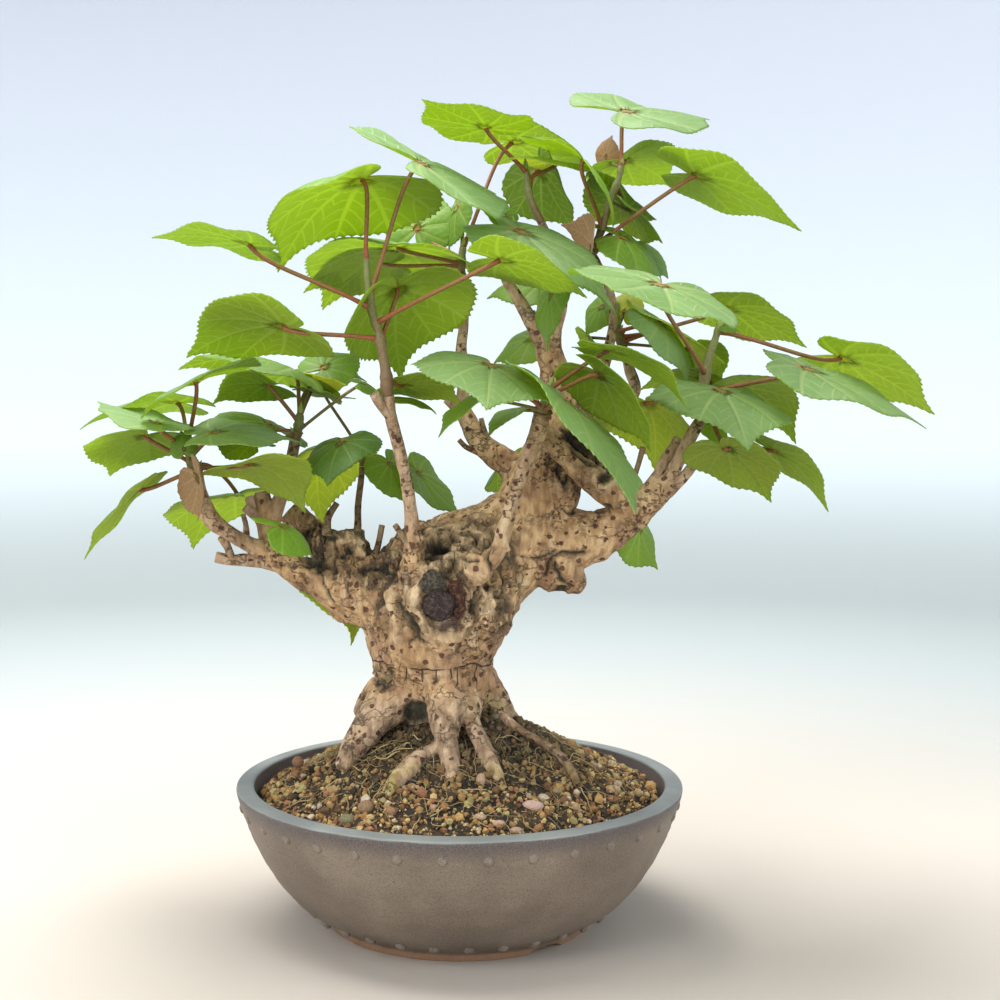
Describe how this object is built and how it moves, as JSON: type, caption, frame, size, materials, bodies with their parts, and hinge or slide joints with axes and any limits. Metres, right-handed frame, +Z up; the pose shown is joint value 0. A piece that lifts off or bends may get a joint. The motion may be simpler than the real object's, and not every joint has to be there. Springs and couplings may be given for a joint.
{
  "type": "sea hibiscus bonsai",
  "caption": "Broadleaf bonsai with a stout rooted trunk, spreading limbs and heart-shaped leaves on long stalks, planted in a round stoneware bowl.",
  "frame": {"origin": "on the surface that the bowl stands on, under the middle of the whole part's box", "axes": "+Z up along the bowl's axis, +Y from the front of the tree to its back, +X to its right as seen from the front"},
  "size_m": [0.4282, 0.2474, 0.4226],
  "materials": {
    "stoneware": "matte",
    "netting": "matte",
    "soil": "matte",
    "bark": "matte",
    "leaf": "satin"
  },
  "bodies": {
    "root": {"bowl": "stoneware", "drain_net": "netting", "leaf_crown_back": "leaf", "leaf_crown_front": "leaf", "leaf_crown_low": "leaf", "leaf_left": "leaf", "leaf_left_low": "leaf", "leaf_middle": "leaf", "leaf_right_low": "leaf", "shoot_centre": "leaf", "shoot_crown": "leaf", "shoot_crown_left": "leaf", "shoot_front_left": "leaf", "shoot_front_right": "leaf", "shoot_left": "leaf", "shoot_left_high": "leaf", "shoot_middle": "leaf", "shoot_right": "leaf", "shoot_right_back": "leaf", "shoot_top": "leaf", "soil": "soil", "wood": "bark"}
  },
  "joints": []
}
